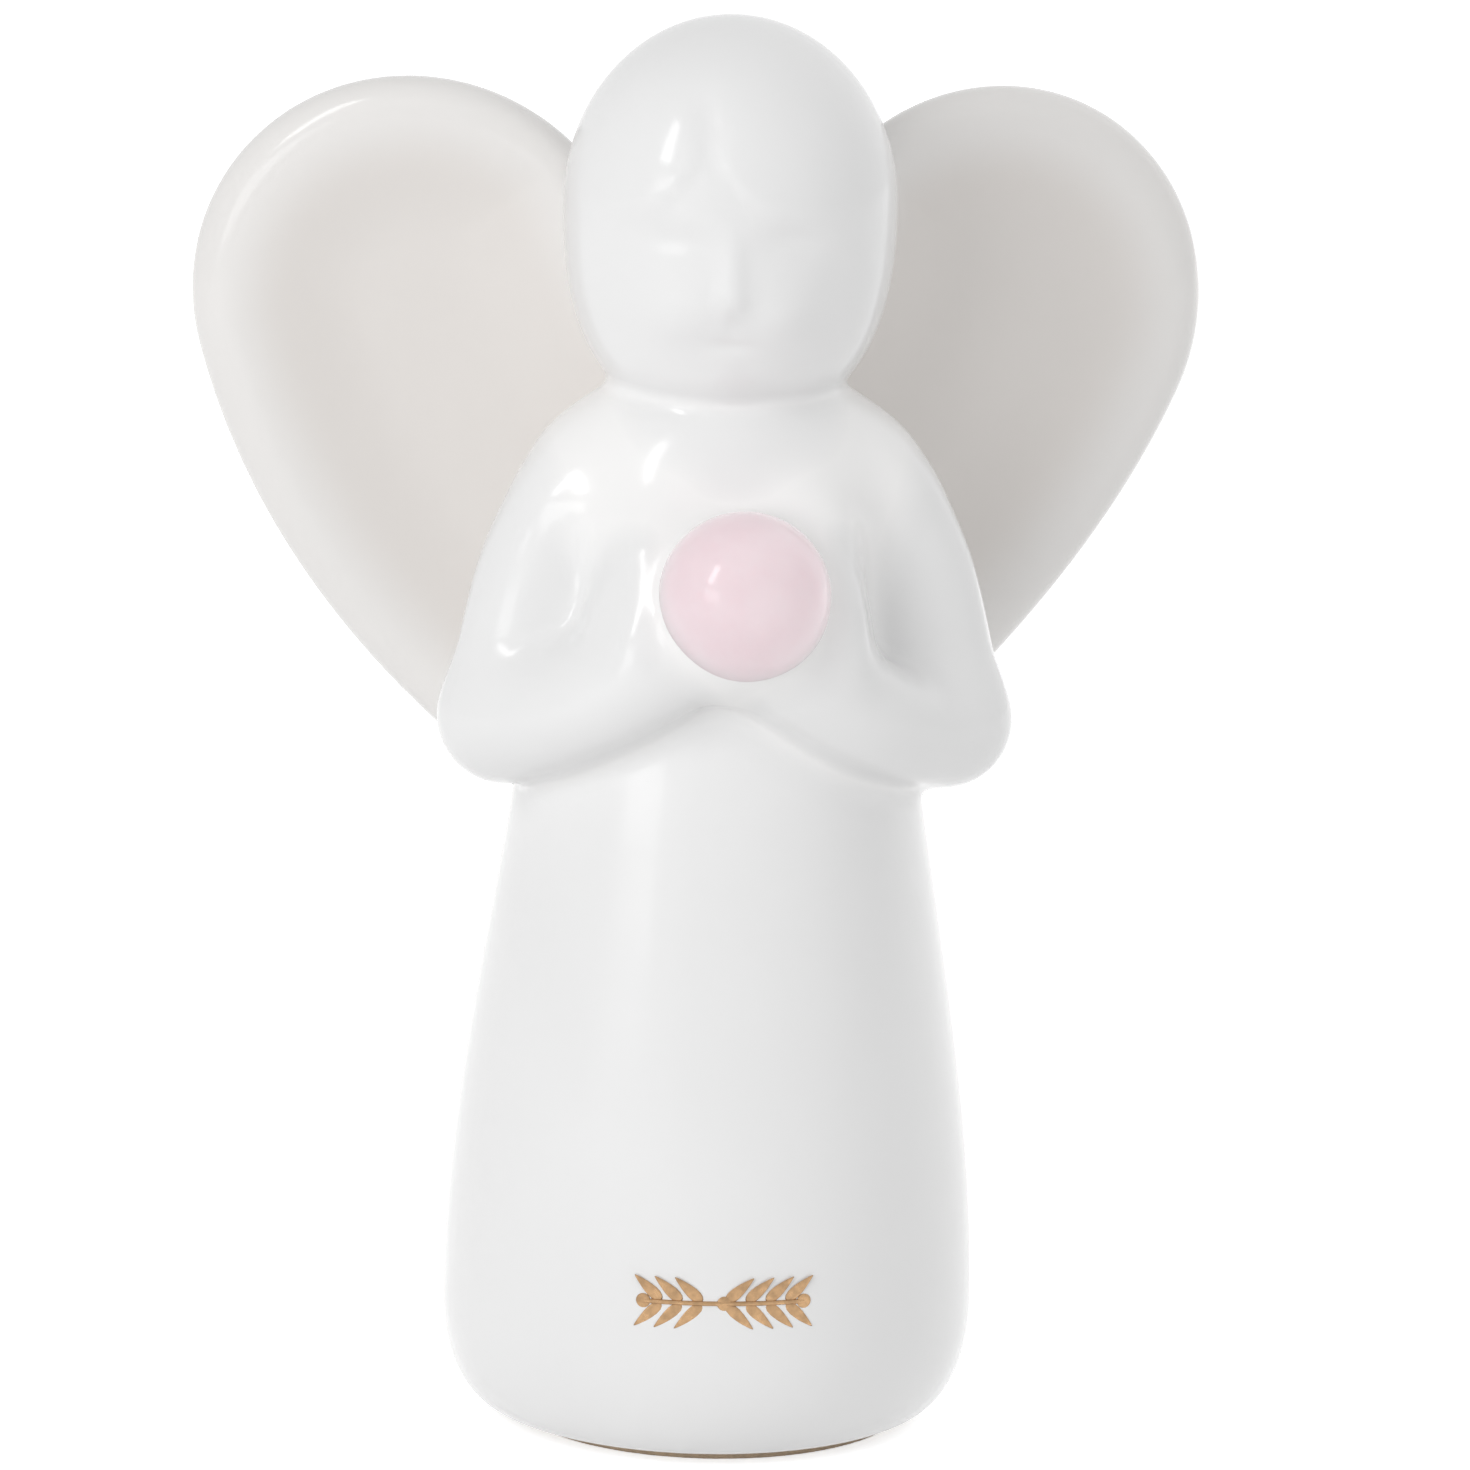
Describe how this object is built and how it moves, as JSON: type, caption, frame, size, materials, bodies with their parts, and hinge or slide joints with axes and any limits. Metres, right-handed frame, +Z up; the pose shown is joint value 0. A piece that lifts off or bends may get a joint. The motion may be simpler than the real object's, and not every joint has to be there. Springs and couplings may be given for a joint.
{
  "type": "angel figurine",
  "caption": "Smooth white angel figurine with a bell-shaped gown, heart-shaped wings and cupped hands holding a polished pink stone ball on a padded base.",
  "frame": {"origin": "centre of the underside of the base pad", "axes": "+Z up, -Y towards the front where the stone is held, +X towards the figure's own left"},
  "size_m": [0.0726, 0.0411, 0.1001],
  "materials": {
    "white_gloss": "glossy white lacquer over cast resin",
    "wing_gloss": "glossy warm white lacquer over cast resin",
    "pink_stone": "polished translucent pale pink quartz",
    "adhesive": "cured clear adhesive",
    "pin_steel": "plain steel dowel",
    "pad_felt": "tan felt"
  },
  "bodies": {
    "root": {"body": "white_gloss", "head": "white_gloss", "right_arm": "white_gloss", "left_arm": "white_gloss", "right_wing": "wing_gloss", "left_wing": "wing_gloss", "stone": "pink_stone", "stone_bed": "adhesive", "wing_pins": "pin_steel", "arm_pins": "pin_steel", "neck_pin": "pin_steel", "base_pad": "pad_felt"}
  },
  "joints": []
}
